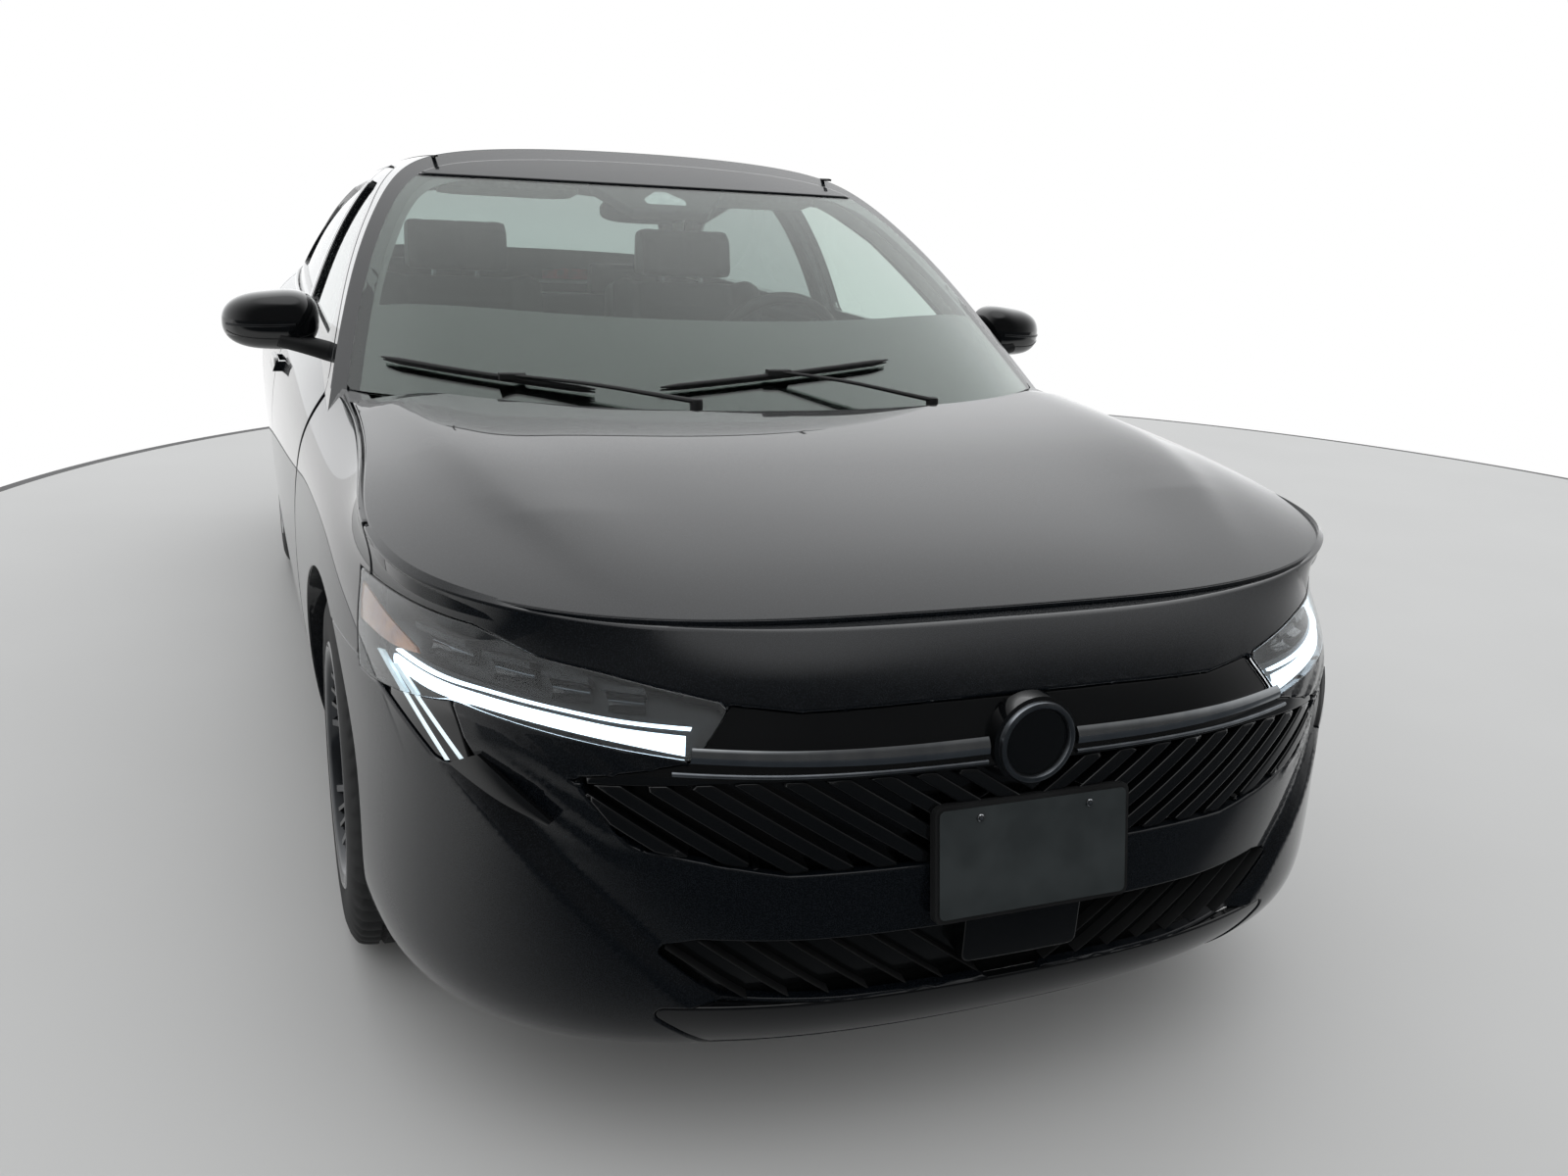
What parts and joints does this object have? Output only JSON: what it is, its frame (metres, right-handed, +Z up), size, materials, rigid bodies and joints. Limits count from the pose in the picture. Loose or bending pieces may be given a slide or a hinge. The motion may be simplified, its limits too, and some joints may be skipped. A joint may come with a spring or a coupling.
{
  "type": "four-door sedan car",
  "caption": "Four-door sedan car with opening doors, hood and trunk lid, steered front wheels, rolling wheels and a furnished cabin.",
  "frame": {"origin": "on the ground, under the middle of the overall length and width", "axes": "+X to the car's own left, +Y to its tail, +Z up"},
  "size_m": [2.0478, 4.68, 1.4484],
  "materials": {
    "body_paint": "gloss",
    "bare_metal": "satin",
    "steel": "satin",
    "iron": "matte",
    "alloy": "satin",
    "rubber_tyre": "matte",
    "black_plastic": "matte",
    "gloss_black": "gloss",
    "clear_lamp": "gloss",
    "red_lamp": "gloss",
    "window_glass": "gloss",
    "trim_plastic": "matte",
    "seat_cover": "matte",
    "chrome_trim": "gloss"
  },
  "bodies": {
    "body": {"badge": "chrome_trim", "body_sides": "body_paint", "console": "trim_plastic", "cowl": "black_plastic", "dashboard": "trim_plastic", "drive_shafts": "steel", "engine": "iron", "exhaust": "steel", "floor_pan": "bare_metal", "front_bumper": "body_paint", "front_fenders": "body_paint", "front_seats": "seat_cover", "front_structure": "bare_metal", "front_suspension": "iron", "fuel_tank": "black_plastic", "grille": "black_plastic", "headlamps": "clear_lamp", "number_plate": "black_plastic", "radiator": "alloy", "rear_bumper": "body_paint", "rear_seat": "seat_cover", "rear_suspension": "iron", "rear_window": "window_glass", "roof_panel": "body_paint", "tail_lamps": "red_lamp", "wheel_liners": "black_plastic", "windshield": "window_glass", "wipers": "black_plastic"},
    "hood": {"hood": "body_paint"},
    "trunk_lid": {"trunk_lid": "body_paint", "lid_lamps": "red_lamp"},
    "steering_wheel": {"steering_wheel": "trim_plastic"},
    "front_door_left": {"front_door_left": "body_paint", "front_glass_left": "window_glass", "mirror_left": "gloss_black"},
    "rear_door_left": {"rear_door_left": "body_paint", "rear_glass_left": "window_glass"},
    "knuckle_left": {"knuckle_left": "iron"},
    "wheel_front_left": {"wheel_front_left": "alloy", "tyre_front_left": "rubber_tyre"},
    "wheel_rear_left": {"wheel_rear_left": "alloy", "tyre_rear_left": "rubber_tyre"},
    "front_door_right": {"front_door_right": "body_paint", "front_glass_right": "window_glass", "mirror_right": "gloss_black"},
    "rear_door_right": {"rear_door_right": "body_paint", "rear_glass_right": "window_glass"},
    "knuckle_right": {"knuckle_right": "iron"},
    "wheel_front_right": {"wheel_front_right": "alloy", "tyre_front_right": "rubber_tyre"},
    "wheel_rear_right": {"wheel_rear_right": "alloy", "tyre_rear_right": "rubber_tyre"}
  },
  "joints": [
    {"name": "front_door_left_hinge", "type": "hinge", "parent": "body", "child": "front_door_left", "pos_m": [0.897, -0.85356, 0.5], "axis": [0, 0, -1], "range_deg": [0, 68]},
    {"name": "rear_door_left_hinge", "type": "hinge", "parent": "body", "child": "rear_door_left", "pos_m": [0.906, 0.22201, 0.5], "axis": [0, 0, -1], "range_deg": [0, 66]},
    {"name": "front_door_right_hinge", "type": "hinge", "parent": "body", "child": "front_door_right", "pos_m": [-0.897, -0.85356, 0.5], "axis": [0, 0, 1], "range_deg": [0, 68]},
    {"name": "rear_door_right_hinge", "type": "hinge", "parent": "body", "child": "rear_door_right", "pos_m": [-0.906, 0.22201, 0.5], "axis": [0, 0, 1], "range_deg": [0, 66]},
    {"name": "hood_hinge", "type": "hinge", "parent": "body", "child": "hood", "pos_m": [0, -1.0051, 0.97306], "axis": [-1, 0, 0], "range_deg": [0, 52]},
    {"name": "trunk_lid_hinge", "type": "hinge", "parent": "body", "child": "trunk_lid", "pos_m": [0, 1.63985, 1.09469], "axis": [1, 0, 0], "range_deg": [0, 76]},
    {"name": "steer_left", "type": "hinge", "parent": "body", "child": "knuckle_left", "pos_m": [0.708, -1.411, 0.19], "axis": [-0.2436, 0, 0.9699], "range_deg": [-32, 32]},
    {"name": "steer_right", "type": "hinge", "parent": "body", "child": "knuckle_right", "pos_m": [-0.708, -1.411, 0.19], "axis": [0.2436, 0, 0.9699], "range_deg": [-32, 32]},
    {"name": "steering_wheel_turn", "type": "hinge", "parent": "body", "child": "steering_wheel", "pos_m": [0.362, -0.34754, 0.935], "axis": [0, 0.9135, 0.4067], "range_deg": [-448, 448]},
    {"name": "wheel_front_left_spin", "type": "hinge", "parent": "knuckle_left", "child": "wheel_front_left", "pos_m": [0.7755, -1.411, 0.326], "axis": [1, 0, 0], "continuous": true},
    {"name": "wheel_front_right_spin", "type": "hinge", "parent": "knuckle_right", "child": "wheel_front_right", "pos_m": [-0.7755, -1.411, 0.326], "axis": [1, 0, 0], "continuous": true},
    {"name": "wheel_rear_left_spin", "type": "hinge", "parent": "body", "child": "wheel_rear_left", "pos_m": [0.7755, 1.295, 0.326], "axis": [1, 0, 0], "continuous": true},
    {"name": "wheel_rear_right_spin", "type": "hinge", "parent": "body", "child": "wheel_rear_right", "pos_m": [-0.7755, 1.295, 0.326], "axis": [1, 0, 0], "continuous": true}
  ],
  "couplings": [
    {"joint": "steer_right", "follows": "steer_left", "ratio": 1},
    {"joint": "steering_wheel_turn", "follows": "steer_left", "ratio": 14}
  ]
}
